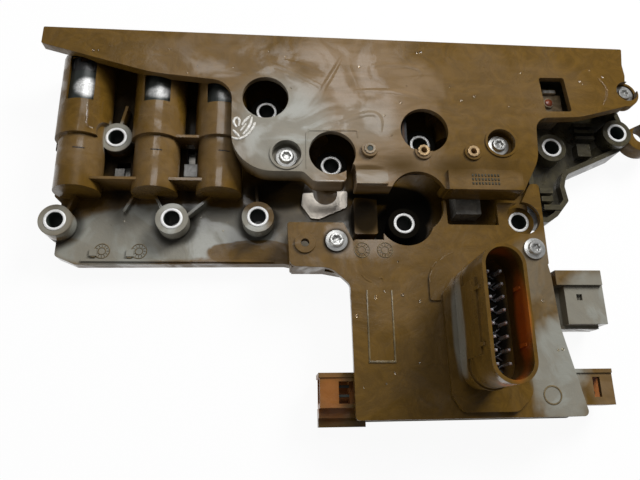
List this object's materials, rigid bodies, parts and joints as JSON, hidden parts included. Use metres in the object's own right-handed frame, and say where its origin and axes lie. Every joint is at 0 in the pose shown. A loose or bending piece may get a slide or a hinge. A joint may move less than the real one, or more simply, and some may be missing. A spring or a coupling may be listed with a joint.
{
  "type": "transmission control module",
  "caption": "Solenoid body and electronics case of an automatic transmission, with a tall shrouded connector, side sockets, bolt bosses with steel limiters and a cover over the solenoids.",
  "frame": {"origin": "foot of the limiter in the centre boss, on the face that bolts to the valve body", "axes": "+X along the long side, +Y to the cover's rear edge, +Z away from the valve body"},
  "size_m": [0.2769, 0.1639, 0.056],
  "materials": {
    "brown_plastic": "brown glass-filled nylon, wet with oil",
    "dark_plastic": "dark moulding, oily",
    "black_plastic": "black moulded plastic",
    "grey_plastic": "grey moulded plastic",
    "bright_steel": "zinc-plated steel",
    "sheet_steel": "pressed sheet steel",
    "valve_aluminium": "turned aluminium",
    "aluminium_plate": "pressed aluminium plate",
    "brass": "turned brass",
    "pin_metal": "plated contact pins",
    "copper": "copper strip and wire",
    "black_rubber": "oil-proof rubber",
    "board_green": "fibre-glass board"
  },
  "bodies": {
    "module": {"solenoid_housing": "brown_plastic", "top_cover": "brown_plastic", "control_module_case": "brown_plastic", "module_base_plate": "aluminium_plate", "pressure_manifold": "dark_plastic", "filter_plate": "sheet_steel", "filter_screens": "sheet_steel", "switch_diaphragms": "black_rubber", "compression_limiters": "bright_steel", "flange_screws": "bright_steel", "brass_inserts": "brass", "circuit_board": "board_green", "processor_chip": "black_plastic", "driver_chips": "black_plastic", "connector_pins": "pin_metal", "upper_socket_pins": "pin_metal", "lower_socket_pins": "pin_metal", "left_socket_pins": "pin_metal", "lead_frame_carrier": "black_plastic", "lead_frame": "copper", "bridge_connector": "grey_plastic", "steel_bracket": "sheet_steel", "temperature_sensor": "grey_plastic", "harness_clip": "brown_plastic", "coil_windings": "copper", "terminal_caps": "black_plastic", "solenoid_sleeves": "brown_plastic", "connector_shroud": "brown_plastic", "upper_socket": "brown_plastic", "lower_socket": "brown_plastic", "left_socket": "brown_plastic", "solenoid_cans": "bright_steel", "valve_noses": "valve_aluminium", "solenoid_1_spring": "bright_steel", "solenoid_2_spring": "bright_steel", "solenoid_3_spring": "bright_steel", "solenoid_4_spring": "bright_steel", "solenoid_5_spring": "bright_steel", "solenoid_6_spring": "bright_steel", "solenoid_7_spring": "bright_steel"},
    "plunger_1": {"solenoid_1_plunger": "bright_steel"},
    "plunger_2": {"solenoid_2_plunger": "bright_steel"},
    "plunger_3": {"solenoid_3_plunger": "bright_steel"},
    "plunger_4": {"solenoid_4_plunger": "bright_steel"},
    "plunger_5": {"solenoid_5_plunger": "bright_steel"},
    "plunger_6": {"solenoid_6_plunger": "bright_steel"},
    "plunger_7": {"solenoid_7_plunger": "bright_steel"}
  },
  "joints": [
    {"name": "plunger_1_slide", "type": "slide", "parent": "module", "child": "plunger_1", "axis": [0, -1, 0], "range_m": [0, 0.0006], "stiffness_N_per_m": 1500, "springref_m": -0.002, "deforming": ["solenoid_1_spring"]},
    {"name": "plunger_2_slide", "type": "slide", "parent": "module", "child": "plunger_2", "axis": [0, -1, 0], "range_m": [0, 0.0006], "stiffness_N_per_m": 1500, "springref_m": -0.002, "deforming": ["solenoid_2_spring"]},
    {"name": "plunger_3_slide", "type": "slide", "parent": "module", "child": "plunger_3", "axis": [0, -1, 0], "range_m": [0, 0.0006], "stiffness_N_per_m": 1500, "springref_m": -0.002, "deforming": ["solenoid_3_spring"]},
    {"name": "plunger_4_slide", "type": "slide", "parent": "module", "child": "plunger_4", "axis": [0, -1, 0], "range_m": [0, 0.0006], "stiffness_N_per_m": 1500, "springref_m": -0.002, "deforming": ["solenoid_4_spring"]},
    {"name": "plunger_5_slide", "type": "slide", "parent": "module", "child": "plunger_5", "axis": [0, -1, 0], "range_m": [0, 0.0006], "stiffness_N_per_m": 1500, "springref_m": -0.002, "deforming": ["solenoid_5_spring"]},
    {"name": "plunger_6_slide", "type": "slide", "parent": "module", "child": "plunger_6", "axis": [0, -1, 0], "range_m": [0, 0.0006], "stiffness_N_per_m": 1500, "springref_m": -0.002, "deforming": ["solenoid_6_spring"]},
    {"name": "plunger_7_slide", "type": "slide", "parent": "module", "child": "plunger_7", "axis": [0, -1, 0], "range_m": [0, 0.0006], "stiffness_N_per_m": 1500, "springref_m": -0.002, "deforming": ["solenoid_7_spring"]}
  ]
}
